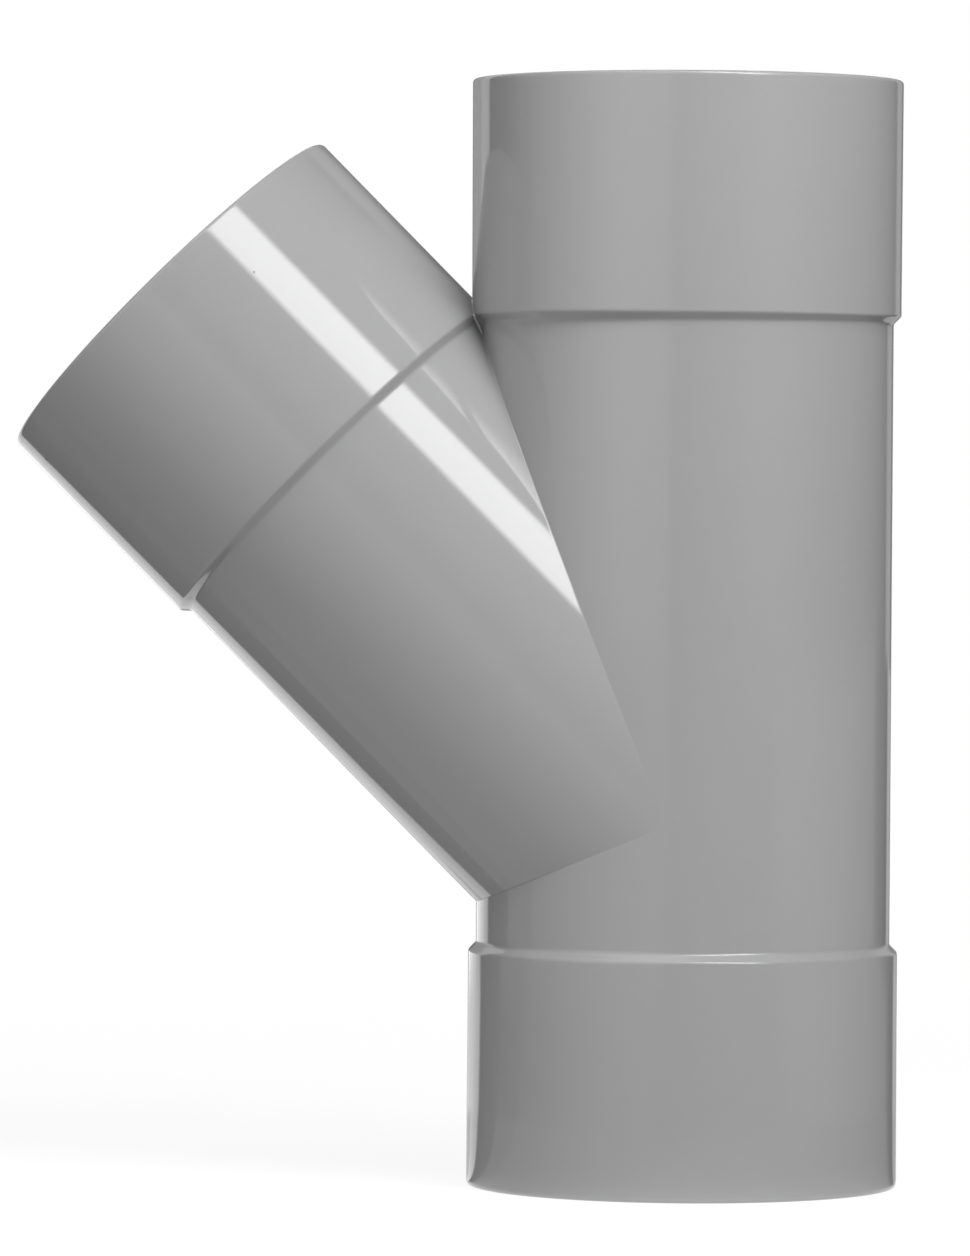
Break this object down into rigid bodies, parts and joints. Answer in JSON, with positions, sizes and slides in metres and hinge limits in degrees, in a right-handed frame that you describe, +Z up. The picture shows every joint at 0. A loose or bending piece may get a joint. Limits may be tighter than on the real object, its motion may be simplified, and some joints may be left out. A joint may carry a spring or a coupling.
{
  "type": "lateral wye pipe fitting",
  "caption": "Lateral wye drain fitting: a straight run with a branch at 45 degrees, a glued pipe socket on each end, moulded in one piece.",
  "frame": {"origin": "centre of the lower rim of the straight run", "axes": "+Z up the run, from the lower socket to the upper one; the branch goes out to -X and up, in the plane Y = 0, where the mould parts"},
  "size_m": [0.2415, 0.1172, 0.3009],
  "materials": {
    "grey_pvc": "smooth rigid PVC, mid grey, moulded with a gloss"
  },
  "bodies": {
    "root": {"wye_body": "grey_pvc"}
  },
  "joints": []
}
